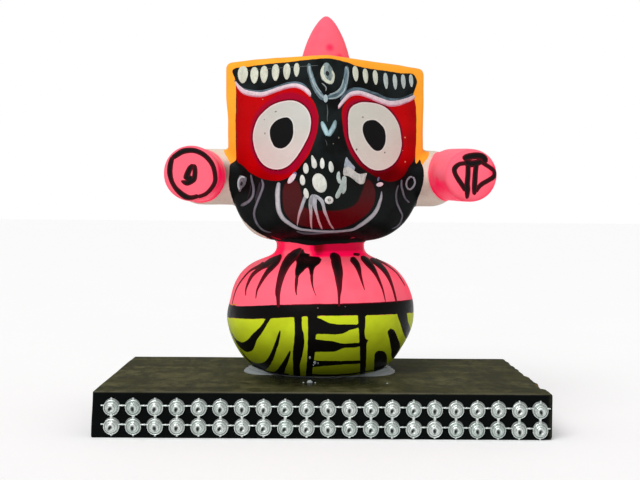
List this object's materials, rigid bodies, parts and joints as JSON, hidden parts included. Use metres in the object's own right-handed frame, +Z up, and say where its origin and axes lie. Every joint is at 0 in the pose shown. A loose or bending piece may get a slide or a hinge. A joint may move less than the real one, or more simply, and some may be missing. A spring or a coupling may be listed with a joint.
{
  "type": "painted jagannath figure on a plinth",
  "caption": "Small painted temple-icon figure with a folded square head, bent stub arms and a round body, glued on a flat black plinth with a rhinestone trim.",
  "frame": {"origin": "middle of the plinth's flat underside", "axes": "+Z up through the crest, +X to the right along the plinth as the figure is seen from the front, +Y to the back, so the face looks along -Y"},
  "size_m": [0.105, 0.0628, 0.1015],
  "materials": {
    "plinth_paint": "satin",
    "clear_glue": "gloss",
    "figure_paint": "satin",
    "trim_plating": "gloss"
  },
  "bodies": {
    "root": {"plinth": "plinth_paint", "glue_bead": "clear_glue", "figure": "figure_paint", "rhinestone_trim": "trim_plating"}
  },
  "joints": []
}
